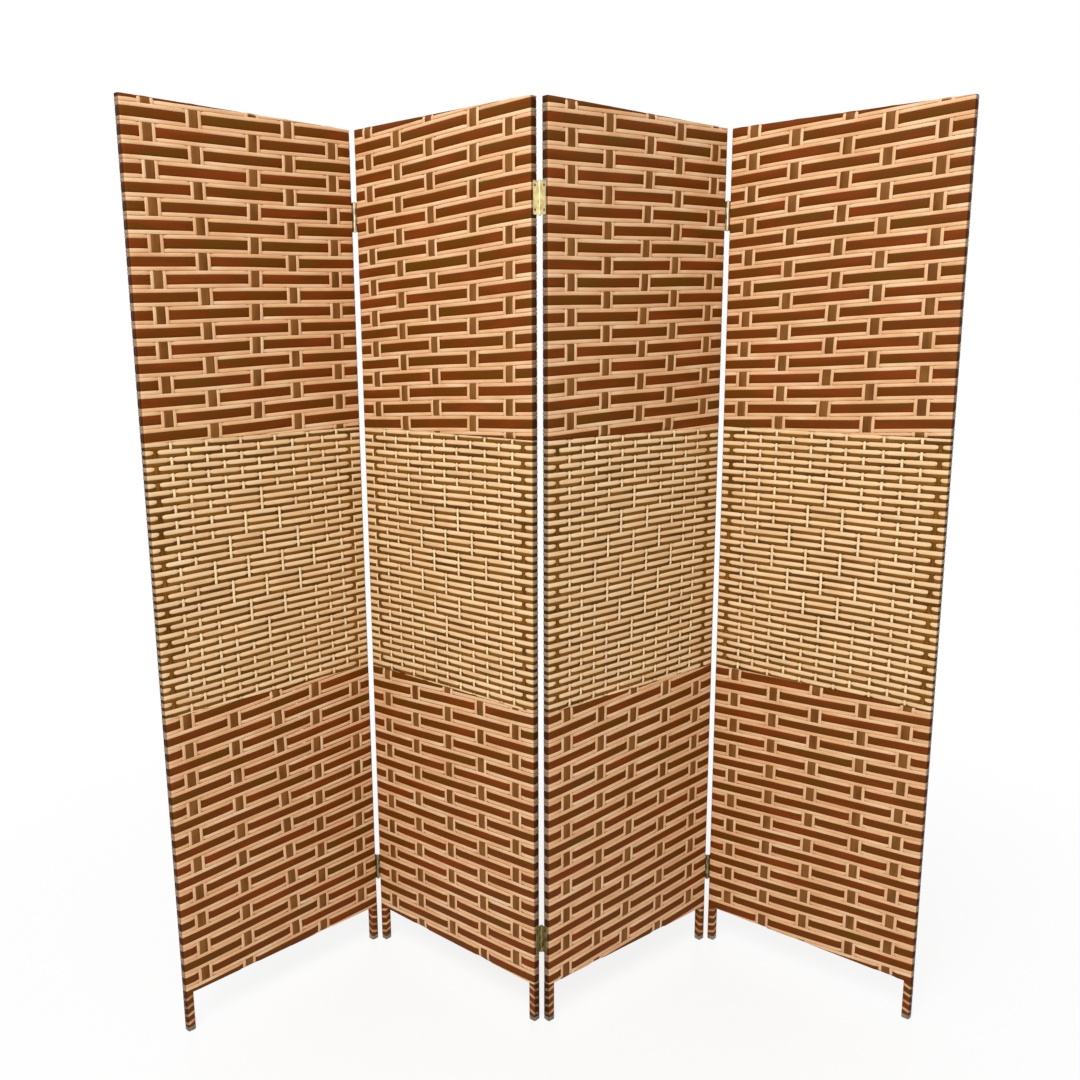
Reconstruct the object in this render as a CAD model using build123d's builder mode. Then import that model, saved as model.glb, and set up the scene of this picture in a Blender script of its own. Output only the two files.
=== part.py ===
from build123d import *
import os
from math import cos, radians, sin

# A free-standing folding screen of four equal woven panels.
# Each panel is a light wood frame inside a woven sleeve: two posts that run down as
# legs, four rails tenoned into them, three bands of weave drawn round the whole frame,
# a wound wrap on each leg and a cap on each foot. Butt hinges join the panels in a zigzag.
# Millimetres. Z is up, X runs along the row of panels, and the viewer stands on the -Y side.
# The origin is on the floor, at the middle of the standing screen's box.

os.makedirs("parts", exist_ok=True)

# Panel
HEIGHT = 1700.0
PANEL_WIDTH = 450.0
THICKNESS = 16.0
SKIN = 2.0
EDGE_RADIUS = 4.0
LEG_HEIGHT = 80.0

# Bands of weave, measured down from the top edge
UPPER_BAND = 566.0
MIDDLE_BAND = 499.0

# Wood frame
POST = THICKNESS - 2 * SKIN
POST_RADIUS = EDGE_RADIUS - SKIN
RAIL_HEIGHT = 20.0
RAIL_RADIUS = 1.0
TENON_THICKNESS = 5.0
TENON_HEIGHT = 12.0
TENON_LENGTH = 7.0
MORTISE_SPARE = 0.2

# Feet and leg wraps
FOOT_HEIGHT = 9.0
FOOT_FLOOR = 2.0
FOOT_CHAMFER = 1.0
STRIP_THICKNESS = 1.0
CORD_THICKNESS = SKIN - STRIP_THICKNESS
CORD_WIDTH = 6.0
WRAP_TURNS = 4
WRAP_PITCH = 16.0
POINTS_A_TURN = 40

# How the panels stand: the way each one runs, in degrees from +X
HEADINGS = (47.2, -38.5, 41.4, -37.1)

# Hinges: the side of the panels that each joint's knuckles are on
FRONT = -1
BACK = 1
HINGE_SIDES = (FRONT, BACK, FRONT)
FLAT_GAP = 4.0
AXIS_PROUD = 2.5
HINGE_HEIGHT = 55.0
UPPER_HINGE = 1540.0
LOWER_HINGE = 172.0
LEAF_THICKNESS = 1.0
LEAF_WIDTH = 14.5
LEAF_CORNER = 1.5
KNUCKLE_COUNT = 5
KNUCKLE_RADIUS = 2.4
KNUCKLE_GAP = 0.2
NOTCH_CLEARANCE = 0.5
PIN_RADIUS = 1.2
PIN_CLEARANCE = 0.05
PIN_HEAD_RADIUS = 1.9
PIN_HEAD_HEIGHT = 0.8
PIN_HEAD_GAP = 0.1

# Hinge screws
SCREW_SPACING = 40.0
SCREW_RADIUS = 1.4
SCREW_LENGTH = 9.0
SCREW_TIP = 3.0
SCREW_HEAD_RADIUS = 2.4
SCREW_CLEARANCE = 0.1
SLOT_WIDTH = 0.6
SLOT_LENGTH = 3.0
SLOT_DEPTH = 0.5

AXIS_OFFSET = THICKNESS / 2 + AXIS_PROUD
KNUCKLE_PITCH = HINGE_HEIGHT / KNUCKLE_COUNT
LEFT = 0
RIGHT = 1

# Heights of the band edges
SHEATH_TOP = HEIGHT
UPPER_EDGE = HEIGHT - UPPER_BAND
LOWER_EDGE = UPPER_EDGE - MIDDLE_BAND
SHEATH_BOTTOM = LEG_HEIGHT

# Middle height of each rail
TOP_RAIL = SHEATH_TOP - RAIL_HEIGHT / 2
BOTTOM_RAIL = SHEATH_BOTTOM + RAIL_HEIGHT / 2
RAILS = (TOP_RAIL, UPPER_EDGE, LOWER_EDGE, BOTTOM_RAIL)


# Where the panels stand

def standing_plane(origin, heading):
    """A panel's own frame: x along the panel, y from its front to its back, z up."""
    along = (cos(radians(heading)), sin(radians(heading)), 0)
    return Plane(origin=origin, x_dir=along, z_dir=(0, 0, 1))


def corner_points(panel):
    """The centres of the rounded corners of a panel's outline, seen from above."""
    inset = EDGE_RADIUS
    half = THICKNESS / 2 - inset
    places = [(x, y, 0) for x in (inset, PANEL_WIDTH - inset) for y in (-half, half)]
    return [panel.from_local_coords(place) for place in places]


def stand_panels():
    """Hangs each panel on the hinge axis of the one before, then centres the row."""
    panels = [standing_plane((0, 0, 0), HEADINGS[0])]
    for side, heading in zip(HINGE_SIDES, HEADINGS[1:]):
        axis = panels[-1].from_local_coords((PANEL_WIDTH + FLAT_GAP / 2, side * AXIS_OFFSET, 0))
        reach = standing_plane((0, 0, 0), heading).from_local_coords(
            (-FLAT_GAP / 2, side * AXIS_OFFSET, 0)
        )
        panels.append(standing_plane(Vector(axis) - Vector(reach), heading))
    corners = [Vector(point) for panel in panels for point in corner_points(panel)]
    middle_x = (min(c.X for c in corners) + max(c.X for c in corners)) / 2
    middle_y = (min(c.Y for c in corners) + max(c.Y for c in corners)) / 2
    shift = Vector(middle_x, middle_y, 0)
    return [standing_plane(p.origin - shift, h) for p, h in zip(panels, HEADINGS)]


PANELS = stand_panels()


def level(panel, height):
    """A horizontal plane of the panel's frame."""
    return panel.offset(height)


def cross_plane(panel, x):
    """A plane square to the panel at x, where a sketch's x is the panel's y and its y is z."""
    return Plane(
        origin=panel.from_local_coords((x, 0, 0)),
        x_dir=panel.y_dir,
        z_dir=panel.x_dir,
    )


def post_middle(end):
    """Where a post's middle is along the panel."""
    inset = SKIN + POST / 2
    return inset if end == LEFT else PANEL_WIDTH - inset


def edge_of(end):
    """Where the panel's edge face is along the panel, and which way it looks."""
    return (0.0, -1) if end == LEFT else (PANEL_WIDTH, 1)


def hinged_ends(index):
    """The ends of a panel that carry hinges, with the side of the knuckles."""
    ends = []
    if index > 0:
        ends.append((LEFT, HINGE_SIDES[index - 1]))
    if index < len(HINGE_SIDES):
        ends.append((RIGHT, HINGE_SIDES[index]))
    return ends


def screw_heights():
    """The height of every screw along one hinged edge."""
    middles = (LOWER_HINGE, UPPER_HINGE)
    return [middle + step * SCREW_SPACING / 2 for middle in middles for step in (-1, 1)]


# Wood frame

def make_post(index, end):
    """A square post with a mortise for each rail and pilot holes for its hinge screws."""
    panel = PANELS[index]
    inward = 1 if end == LEFT else -1
    inner_face = post_middle(end) + inward * POST / 2
    outer_face = post_middle(end) - inward * POST / 2
    with BuildPart() as post:
        with BuildSketch(level(panel, FOOT_FLOOR)):
            with Locations((post_middle(end), 0)):
                RectangleRounded(POST, POST, POST_RADIUS)
        extrude(amount=HEIGHT - FOOT_FLOOR)
        with BuildSketch(cross_plane(panel, inner_face)):
            with Locations(*[(0, rail) for rail in RAILS]):
                Rectangle(TENON_THICKNESS, TENON_HEIGHT)
        extrude(amount=-inward * (TENON_LENGTH + MORTISE_SPARE), mode=Mode.SUBTRACT)
        if end in [hinged for hinged, _ in hinged_ends(index)]:
            with BuildSketch(cross_plane(panel, outer_face)):
                with Locations(*[(0, height) for height in screw_heights()]):
                    Circle(SCREW_RADIUS + SCREW_CLEARANCE)
            extrude(amount=inward * SCREW_LENGTH, mode=Mode.SUBTRACT)
    return post.part


def make_rails(index, heights):
    """Rails between the posts, each with a tenon at both ends."""
    panel = PANELS[index]
    start = SKIN + POST
    length = PANEL_WIDTH - 2 * start
    with BuildPart() as rails:
        with BuildSketch(cross_plane(panel, start)):
            with Locations(*[(0, height) for height in heights]):
                RectangleRounded(POST, RAIL_HEIGHT, RAIL_RADIUS)
        extrude(amount=length)
        with BuildSketch(cross_plane(panel, start - TENON_LENGTH)):
            with Locations(*[(0, height) for height in heights]):
                Rectangle(TENON_THICKNESS, TENON_HEIGHT)
        extrude(amount=length + 2 * TENON_LENGTH)
    return rails.part


# Woven sleeve, one closed band for each pattern

def make_weave(index, bottom, top):
    """A band of the woven sleeve, drawn over the posts' outer faces."""
    panel = PANELS[index]
    with BuildPart() as weave:
        with BuildSketch(level(panel, bottom)):
            with Locations((PANEL_WIDTH / 2, 0)):
                RectangleRounded(PANEL_WIDTH, THICKNESS, EDGE_RADIUS)
                RectangleRounded(
                    PANEL_WIDTH - 2 * SKIN, POST, POST_RADIUS, mode=Mode.SUBTRACT
                )
        extrude(amount=top - bottom)
        screws = [height for height in screw_heights() if bottom < height < top]
        for end, _ in hinged_ends(index):
            if screws:
                edge, outward = edge_of(end)
                with BuildSketch(cross_plane(panel, edge)):
                    with Locations(*[(0, height) for height in screws]):
                        Circle(SCREW_RADIUS + SCREW_CLEARANCE)
                extrude(amount=-outward * SKIN, mode=Mode.SUBTRACT)
    return weave.part


# Legs and feet

def winding_points(end):
    """The corners of one cord's way up a leg, in the panel's frame, rising steadily."""
    reach = POST / 2 + STRIP_THICKNESS + CORD_THICKNESS / 2
    square = ((reach, -reach), (reach, reach), (-reach, reach), (-reach, -reach))
    low = (FOOT_HEIGHT + LEG_HEIGHT - WRAP_TURNS * WRAP_PITCH) / 2
    middle = post_middle(end)
    points = [(middle, -reach, low)]
    for step in range(4 * WRAP_TURNS):
        x, y = square[step % 4]
        points.append((middle + x, y, low + (step + 0.5) * WRAP_PITCH / 4))
    points.append((middle, -reach, low + WRAP_TURNS * WRAP_PITCH))
    return points


def make_leg_wraps(index):
    """For each leg, a plain layer of flat strip with a flattened cord wound over it."""
    panel = PANELS[index]
    core = POST + 2 * STRIP_THICKNESS
    core_radius = POST_RADIUS + STRIP_THICKNESS
    with BuildPart() as wraps:
        with BuildSketch(level(panel, FOOT_HEIGHT)):
            with Locations((post_middle(LEFT), 0), (post_middle(RIGHT), 0)):
                RectangleRounded(core, core, core_radius)
                RectangleRounded(POST, POST, POST_RADIUS, mode=Mode.SUBTRACT)
        extrude(amount=LEG_HEIGHT - FOOT_HEIGHT)
    solids = list(wraps.part.solids())
    for end in (LEFT, RIGHT):
        points = [panel.from_local_coords(point) for point in winding_points(end)]
        with BuildPart() as winding:
            with BuildLine() as way:
                FilletPolyline(*points, radius=core_radius + CORD_THICKNESS / 2)
            start = way.line @ 0
            ahead = way.line % 0
            across = ahead.cross(Vector(0, 0, 1))
            with BuildSketch(Plane(origin=start, x_dir=across, z_dir=ahead)):
                Ellipse(CORD_THICKNESS / 2, CORD_WIDTH / 2)
            way_up = Wire(way.line.edges())
            above = way_up.moved(Location((0, 0, LEG_HEIGHT)))
            sweep(path=way_up, binormal=above)
        solids.extend(winding.part.solids())
    return Compound(children=solids)


def make_feet(index):
    """A cap under each leg, with a socket for the post's end."""
    panel = PANELS[index]
    with BuildPart() as feet:
        with BuildSketch(level(panel, 0)):
            with Locations((post_middle(LEFT), 0), (post_middle(RIGHT), 0)):
                RectangleRounded(THICKNESS, THICKNESS, EDGE_RADIUS)
        extrude(amount=FOOT_HEIGHT)
        chamfer(feet.faces().group_by(Axis.Z)[0].edges(), length=FOOT_CHAMFER)
        with BuildSketch(level(panel, FOOT_FLOOR)):
            with Locations((post_middle(LEFT), 0), (post_middle(RIGHT), 0)):
                RectangleRounded(POST, POST, POST_RADIUS)
        extrude(amount=FOOT_HEIGHT - FOOT_FLOOR, mode=Mode.SUBTRACT)
    return feet.part


# Hinges

def knuckle_bottoms(middle, first):
    """The lower end of every second knuckle of a hinge, from the given one up."""
    low = middle - HINGE_HEIGHT / 2 + KNUCKLE_GAP / 2
    return [low + step * KNUCKLE_PITCH for step in range(first, KNUCKLE_COUNT, 2)]


def make_leaf(index, end, side, middle):
    """A hinge leaf screwed on a panel's edge face, with its share of the knuckles."""
    panel = PANELS[index]
    edge, outward = edge_of(end)
    own = 0 if end == RIGHT else 1
    axis = (edge + outward * FLAT_GAP / 2, side * AXIS_OFFSET)
    plate_middle = side * (AXIS_OFFSET - LEAF_WIDTH / 2)
    screws = [h for h in screw_heights() if abs(h - middle) < HINGE_HEIGHT / 2]
    with BuildPart() as leaf:
        with BuildSketch(cross_plane(panel, edge)) as plate:
            with Locations((plate_middle, middle)):
                Rectangle(LEAF_WIDTH, HINGE_HEIGHT)
            far = plate.vertices().group_by(Axis(panel.origin, -side * panel.y_dir))[-1]
            fillet(far, radius=LEAF_CORNER)
        extrude(amount=outward * LEAF_THICKNESS)
        for low in knuckle_bottoms(middle, 1 - own):
            with BuildSketch(level(panel, low - KNUCKLE_GAP)):
                with Locations(axis):
                    Circle(KNUCKLE_RADIUS + NOTCH_CLEARANCE)
            extrude(amount=KNUCKLE_PITCH + KNUCKLE_GAP, mode=Mode.SUBTRACT)
        for low in knuckle_bottoms(middle, own):
            with BuildSketch(level(panel, low)):
                with Locations(axis):
                    Circle(KNUCKLE_RADIUS)
            extrude(amount=KNUCKLE_PITCH - KNUCKLE_GAP)
        with BuildSketch(level(panel, middle - HINGE_HEIGHT / 2)):
            with Locations(axis):
                Circle(PIN_RADIUS + PIN_CLEARANCE)
        extrude(amount=HINGE_HEIGHT, mode=Mode.SUBTRACT)
        for height in screws:
            with BuildSketch(level(panel, height)):
                with BuildLine():
                    Polyline(*countersink_profile(edge, outward), close=True)
                make_face()
            revolve(axis=screw_axis(panel, height), mode=Mode.SUBTRACT)
    return leaf.part


def screw_axis(panel, height):
    """The line along the panel that a hinge screw at this height is driven on."""
    return Axis(panel.from_local_coords((0, 0, height)), panel.x_dir)


def countersink_profile(edge, outward):
    """Half the outline of a leaf's screw hole: a cone the depth of the leaf."""
    face = edge + outward * LEAF_THICKNESS
    return [
        (face, 0),
        (face, SCREW_HEAD_RADIUS + SCREW_CLEARANCE),
        (edge, SCREW_RADIUS + SCREW_CLEARANCE),
        (edge, 0),
    ]


def screw_profile(edge, outward):
    """Half the outline of a countersunk wood screw, from its head to its point."""
    return [
        (edge + outward * LEAF_THICKNESS, 0),
        (edge + outward * LEAF_THICKNESS, SCREW_HEAD_RADIUS),
        (edge, SCREW_RADIUS),
        (edge - outward * (SCREW_LENGTH - SCREW_TIP), SCREW_RADIUS),
        (edge - outward * SCREW_LENGTH, 0),
    ]


def make_pins(index):
    """The two pins of a joint, each held by a head at both ends."""
    panel = PANELS[index]
    axis = (PANEL_WIDTH + FLAT_GAP / 2, HINGE_SIDES[index] * AXIS_OFFSET)
    length = HINGE_HEIGHT + 2 * PIN_HEAD_GAP
    with BuildPart() as pins:
        for middle in (LOWER_HINGE, UPPER_HINGE):
            low = middle - length / 2
            with BuildSketch(level(panel, low - PIN_HEAD_HEIGHT)):
                with Locations(axis):
                    Circle(PIN_HEAD_RADIUS)
            extrude(amount=PIN_HEAD_HEIGHT)
            with BuildSketch(level(panel, low)):
                with Locations(axis):
                    Circle(PIN_RADIUS)
            extrude(amount=length)
            with BuildSketch(level(panel, low + length)):
                with Locations(axis):
                    Circle(PIN_HEAD_RADIUS)
            extrude(amount=PIN_HEAD_HEIGHT)
    return pins.part


def make_screw(panel, edge, outward, height):
    """One countersunk wood screw with a cross slot, driven in from the leaf's face."""
    with BuildPart() as screw:
        with BuildSketch(level(panel, height)):
            with BuildLine():
                Polyline(*screw_profile(edge, outward), close=True)
            make_face()
        revolve(axis=screw_axis(panel, height))
        with BuildSketch(cross_plane(panel, edge + outward * LEAF_THICKNESS)):
            with Locations((0, height)):
                Rectangle(SLOT_WIDTH, SLOT_LENGTH)
                Rectangle(SLOT_LENGTH, SLOT_WIDTH)
        extrude(amount=-outward * SLOT_DEPTH, mode=Mode.SUBTRACT)
    return screw.part


def make_screws(index):
    """Every hinge screw of a panel."""
    solids = []
    for end, _ in hinged_ends(index):
        edge, outward = edge_of(end)
        for height in screw_heights():
            solids.extend(make_screw(PANELS[index], edge, outward, height).solids())
    return Compound(children=solids)


def winding_gap():
    """The least gap between neighbouring turns of a leg's cord, measured on points."""
    with BuildLine() as way:
        FilletPolyline(
            *winding_points(LEFT), radius=POST_RADIUS + STRIP_THICKNESS + CORD_THICKNESS / 2
        )
    count = POINTS_A_TURN * WRAP_TURNS
    nearest = POINTS_A_TURN * 3 // 4
    points = [way.line @ (step / count) for step in range(count + 1)]
    apart = [
        (points[a] - points[b]).length
        for a in range(count + 1)
        for b in range(a + nearest, count + 1)
    ]
    return min(apart) - CORD_WIDTH


# Write every piece

def save(piece, name):
    piece.label = name
    export_step(piece, f"parts/{name}.step")


for index in range(len(PANELS)):
    name = f"panel_{index + 1}"
    save(make_post(index, LEFT), f"{name}_left_post")
    save(make_post(index, RIGHT), f"{name}_right_post")
    save(make_rails(index, [TOP_RAIL]), f"{name}_top_rail")
    save(make_rails(index, [UPPER_EDGE, LOWER_EDGE]), f"{name}_mid_rails")
    save(make_rails(index, [BOTTOM_RAIL]), f"{name}_bottom_rail")
    save(make_weave(index, UPPER_EDGE, SHEATH_TOP), f"{name}_upper_weave")
    save(make_weave(index, LOWER_EDGE, UPPER_EDGE), f"{name}_middle_weave")
    save(make_weave(index, SHEATH_BOTTOM, LOWER_EDGE), f"{name}_lower_weave")
    save(make_leg_wraps(index), f"{name}_leg_wraps")
    save(make_feet(index), f"{name}_feet")
    save(make_screws(index), f"{name}_hinge_screws")

for index, side in enumerate(HINGE_SIDES):
    joint = f"hinge_{index + 1}{index + 2}"
    for middle, place in ((UPPER_HINGE, "upper"), (LOWER_HINGE, "lower")):
        save(make_leaf(index, RIGHT, side, middle), f"{joint}_{place}_left_leaf")
        save(make_leaf(index + 1, LEFT, side, middle), f"{joint}_{place}_right_leaf")
    save(make_pins(index), f"{joint}_pins")

print("least gap between turns of the leg cord:", round(winding_gap(), 2), "mm")
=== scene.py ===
from math import ceil, cos, radians, sin

import bpy
import numpy as np
from mathutils import Matrix, Vector


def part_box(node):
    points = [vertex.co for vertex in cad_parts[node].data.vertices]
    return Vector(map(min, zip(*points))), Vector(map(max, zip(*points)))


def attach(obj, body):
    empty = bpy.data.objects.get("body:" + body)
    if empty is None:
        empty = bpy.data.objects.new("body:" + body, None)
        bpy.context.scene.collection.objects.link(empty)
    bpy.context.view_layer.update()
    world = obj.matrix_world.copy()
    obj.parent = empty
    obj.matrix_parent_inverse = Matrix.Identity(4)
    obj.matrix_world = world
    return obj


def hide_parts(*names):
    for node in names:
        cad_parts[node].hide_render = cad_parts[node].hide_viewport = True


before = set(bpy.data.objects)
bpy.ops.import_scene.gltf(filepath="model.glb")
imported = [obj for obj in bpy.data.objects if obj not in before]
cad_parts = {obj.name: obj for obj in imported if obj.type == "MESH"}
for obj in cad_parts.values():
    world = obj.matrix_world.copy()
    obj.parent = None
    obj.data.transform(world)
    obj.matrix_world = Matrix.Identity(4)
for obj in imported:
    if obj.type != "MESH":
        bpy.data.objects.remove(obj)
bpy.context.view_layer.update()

# A free-standing folding screen of four woven panels, in metres.
# Every panel has its own frame: x along it from its left edge, y from front to back, z up.
# Sizes that are read off the weave are written in millimetres and taken to metres by MM.

MM = 0.001

# Camera
CAMERA_PLACE = (0.0422, -1.9264, 1.3112)
CAMERA_TURN = (78.89, 0.16, 1.92)
LENS = 34.45

# Floor: how white the camera sees it near the screen, and where it is all white
FLOOR_WHITENESS = 0.8
FLOOR_NEAR = 0.4
FLOOR_FAR = 1.8
FLOOR_REACH = 6.0

# Light: the even light from all round, and one soft lamp at the front left
WORLD_STRENGTH = 0.5
KEY_PLACE = (-0.7, -2.4, 3.6)
KEY_TARGET = (0, 0, 0.8)
KEY_SIZE = 2.2
KEY_POWER = 108

# Colours
DARK_RED = "#7b370b"
DARK_BROWN = "#6b3406"
DARK_OLIVE = "#613b04"
UPRIGHT_BROWN = "#845527"
UPRIGHT_DEEP = "#6d4016"
TAN_LIGHT = "#ebc69b"
TAN_DEEP = "#d8a271"
TAN_WARM = "#e5b484"
WOUND_LIGHT = "#dbae84"
WOUND_DEEP = "#a06f45"
STRIP_LIGHT = "#f8d7a8"
STRIP_WARM = "#f0c998"
STRIP_DEEP = "#e2b988"
FINE_LIGHT = "#f7dfb0"
SHADE_BROWN = "#835416"
SHADE_DEEP = "#5c380c"
WOOD_LIGHT = "#d9b98a"
WOOD_DEEP = "#b98f5c"

# The weave's layers: how far each strand's middle is from the panel's middle plane
UNDER = 6.3 * MM
ROW_OVER = 7.9 * MM
UPRIGHT_OVER = 8.3 * MM
SIDE_LEVEL = 7.0 * MM
CORNER = 3.0 * MM
FLAT_MARGIN = 20.0 * MM
STRIP_THICKNESS = 1.9 * MM
ROUND_THICKNESS = 2.3 * MM
UPRIGHT_THICKNESS = 1.5 * MM
UPRIGHT_RISE = 4.0 * MM

# An upright's turn over a rail: its reach to the front and back, and its height there,
# as shares of its thickness
RAIL_REACH = 6.05 * MM
TURN_LIFT = 0.7
TURN_BASE = 0.1

# The rows waver a little: how far, and how that changes along, down and from panel to panel
DRIFT = 0.7 * MM
DRIFT_ALONG = 17
DRIFT_DOWN = 11
DRIFT_STEP = 1.7

# Where a row's shape needs points beside an upright, as shares of its half width and dip
DIP_PLACES = (-1.0, -0.72, -0.45, -0.2, 0, 0.2, 0.45, 0.72, 1.0)

# Wide bands: a dark strip between two pale cords, over groups of three upright strands
DARK_WIDTH = 16.0
LOWER_DARK_WIDTH = 14.6
DARK_OVERLAP = 0.2
DIP_NARROWING = 0.07
GROUP_STRIP = 16.0
GROUP_CORD = 6.2
GROUP_OVERLAP = 0.3
GROUP_HALF = 14.0 * MM
GROUP_DIP = 9.0 * MM

# Middle band: a pale strip over a dark cord, on single upright strands.
# The strip's and the cord's widths are shares of their room, and so is what a dip takes off.
FINE_ROWS = 35
FINE_STRIP = 0.59
STRIP_SPREAD = 1.04
STRIP_NARROWING = 0.42
SHADE_SPREAD = 1.08
SHADE_NARROWING = 0.1
SHADE_DROP = 0.2 * MM
SHADE_LIFT = 1.0 * MM
FINE_UPRIGHT = 5.2 * MM
SIDE_UPRIGHT = 8.0 * MM
PALE_UPRIGHT = 4.4 * MM
FINE_DIP = 8.5 * MM

# The weave of each panel, in millimetres from its left edge and down from its top.
# first: middle of the first row whose odd uprights show, at the left edge
# climb: how much a row rises to the right, at the top and the bottom of the band
# uprights: middles of the uprights at the top and the bottom of the band
UPPER = {
    1: {
        "first": 57,
        "pitch": 29.5,
        "climb": (14, 18),
        "uprights": ((46, 129, 242, 313, 407), (48, 133, 220, 306, 401)),
    },
    2: {
        "first": 65.5,
        "pitch": 29,
        "climb": (26, 21.7),
        "uprights": ((41, 120, 206, 318, 401), (48, 126, 212, 306, 396)),
    },
    3: {
        "first": 61.5,
        "pitch": 29.7,
        "climb": (15, 15),
        "uprights": ((53, 141, 243, 319, 416), (52, 134, 220, 300, 397)),
    },
    4: {
        "first": 68,
        "pitch": 29,
        "climb": (23, 21),
        "uprights": ((48, 134, 235, 308, 401), (40, 121, 210, 297, 394)),
    },
}

LOWER = {
    1: {
        "first": 1084.5,
        "pitch": 28.3,
        "climb": (38, 16),
        "uprights": ((42, 135, 227, 316, 412), (42, 135, 245, 310, 407)),
    },
    2: {
        "first": 1075,
        "pitch": 28.8,
        "climb": (22.7, 14),
        "uprights": ((48, 132, 225, 314, 405), (48, 133, 227, 315, 402)),
    },
    3: {
        "first": 1081.3,
        "pitch": 29.35,
        "climb": (38, 36),
        "uprights": ((46, 133, 220, 310, 401), (45, 126, 202, 299, 394)),
    },
    4: {
        "first": 1079,
        "pitch": 28.2,
        "climb": (18, 26),
        "uprights": ((47, 135, 226, 321, 406), (47, 130, 220, 321, 398)),
    },
}

# The fine band's outermost uprights are dark, some of them beside a pale one
MIDDLE = {
    1: {
        "climb": (3, 16),
        "uprights": (
            (19, 47.5, 80, 115, 148, 182.5, 218.5, 253.5, 291, 325, 358.5, 391.5, 421.5),
            (19, 52.5, 80, 118, 152, 186.5, 222.5, 261, 297.5, 331, 363, 396.5, 421.5),
        ),
        "pale": (426,),
    },
    2: {
        "climb": (6, 5),
        "uprights": (
            (32, 62.5, 95, 130, 162.5, 198, 230, 263, 299, 335, 370, 402.5, 427.5),
            (32, 62.5, 95, 130, 162.5, 196, 227, 263, 299, 335, 370, 402.5, 427.5),
        ),
        "pale": (27,),
    },
    3: {
        "climb": (2, 11),
        "uprights": (
            (22, 50, 82.5, 116, 148.5, 181, 214, 250, 285, 319, 352.5, 386.5, 417.5),
            (22, 52, 80, 112, 143, 176, 210, 245, 278, 313, 348, 378, 417.5),
        ),
        "pale": (),
    },
    4: {
        "climb": (3, -6),
        "uprights": (
            (21.5, 52.5, 85, 119, 154, 191, 225, 260, 295, 331, 366, 400, 432.5),
            (21.5, 52.5, 85, 119, 154, 189, 223, 260, 292, 331, 366, 400, 432.5),
        ),
        "pale": (),
    },
}

# The diamond in the fine band: the first row of each tall upright, and its uprights
DIAMOND = {
    8: (7,),
    11: (6, 8),
    14: (5, 7, 9),
    17: (4, 6, 8, 10),
    20: (5, 7, 9),
    23: (6, 8),
    26: (7,),
}
DIAMOND_HEIGHT = 3

# Painted shade on the strands of the panels' narrow sides: how dark, and where it starts and is full
SIDE_SHADE = 0.36
SIDE_START = 2.4 * MM
SIDE_FULL = 0.9 * MM

# Leg winding
LEG_PITCH = 16.6 * MM
LEG_DARK = 11.4 * MM
LEG_PALE = 5.6 * MM
LEG_DARK_LEVEL = 6.9 * MM
LEG_PALE_LEVEL = 7.1 * MM
LEG_DARK_START = 3.0 * MM
LEG_PALE_START = 11.3 * MM
LEG_CORNER = 2.2 * MM
LEG_THICKNESS = 1.7 * MM


# The panels' frames

def nodes_reach(name, direction):
    """The lowest and highest value of a node's points along a direction."""
    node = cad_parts[name]
    values = [direction.dot(node.matrix_world @ vertex.co) for vertex in node.data.vertices]
    return min(values), max(values)


def post_middle(number, side):
    """The middle of a post, on the floor."""
    low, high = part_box(f"panel_{number}_{side}_post")
    return Vector(((low[0] + high[0]) / 2, (low[1] + high[1]) / 2, 0))


def panel_matrix(number):
    """Where a panel stands: its left edge, its direction and its back."""
    left = post_middle(number, "left")
    right = post_middle(number, "right")
    along = (right - left).normalized()
    back = Vector((-along.y, along.x, 0))
    start, _ = nodes_reach(f"panel_{number}_upper_weave", along)
    origin = left + along * (start - along.dot(left))
    return Matrix(
        (
            (along.x, back.x, 0, origin.x),
            (along.y, back.y, 0, origin.y),
            (0, 0, 1, 0),
            (0, 0, 0, 1),
        )
    )


NUMBERS = (1, 2, 3, 4)
STANDS = {number: panel_matrix(number) for number in NUMBERS}
WIDTH = np.ptp(nodes_reach("panel_1_upper_weave", STANDS[1].col[0].xyz))
HALF = np.ptp(nodes_reach("panel_1_upper_weave", STANDS[1].col[1].xyz)) / 2
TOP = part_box("panel_1_upper_weave")[1][2]
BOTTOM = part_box("panel_1_lower_weave")[0][2]
FOOT_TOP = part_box("panel_1_feet")[1][2]
POST_INSET = (post_middle(1, "left") - STANDS[1].translation).length


# Strands: every woven piece is a set of flat strands, each swept along its own path

def section(angles, power):
    """A strand's section at angles from one edge over its face: how far across and out.

    A power of 1 makes an oval, and a smaller one makes it flatter, with tighter edges.
    """
    turns = np.radians(angles)
    across = np.sign(np.cos(turns)) * np.abs(np.cos(turns)) ** power
    outward = np.sign(np.sin(turns)) * np.abs(np.sin(turns)) ** power
    return np.stack((across, outward), axis=1)


FLAT_SECTION = section((0, 35, 75, 105, 145, 180, 235, 305), 0.62)
ROUND_SECTION = section((0, 30, 65, 90, 115, 150, 180, 270), 0.9)
CORD_SECTION = section((0, 30, 65, 90, 115, 150, 180, 270), 0.7)
SLIM_SECTION = section((0, 50, 90, 130, 180, 270), 0.8)


def smooth(value):
    """A soft step from 0 to 1."""
    value = np.clip(value, 0, 1)
    return value * value * (3 - 2 * value)


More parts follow.
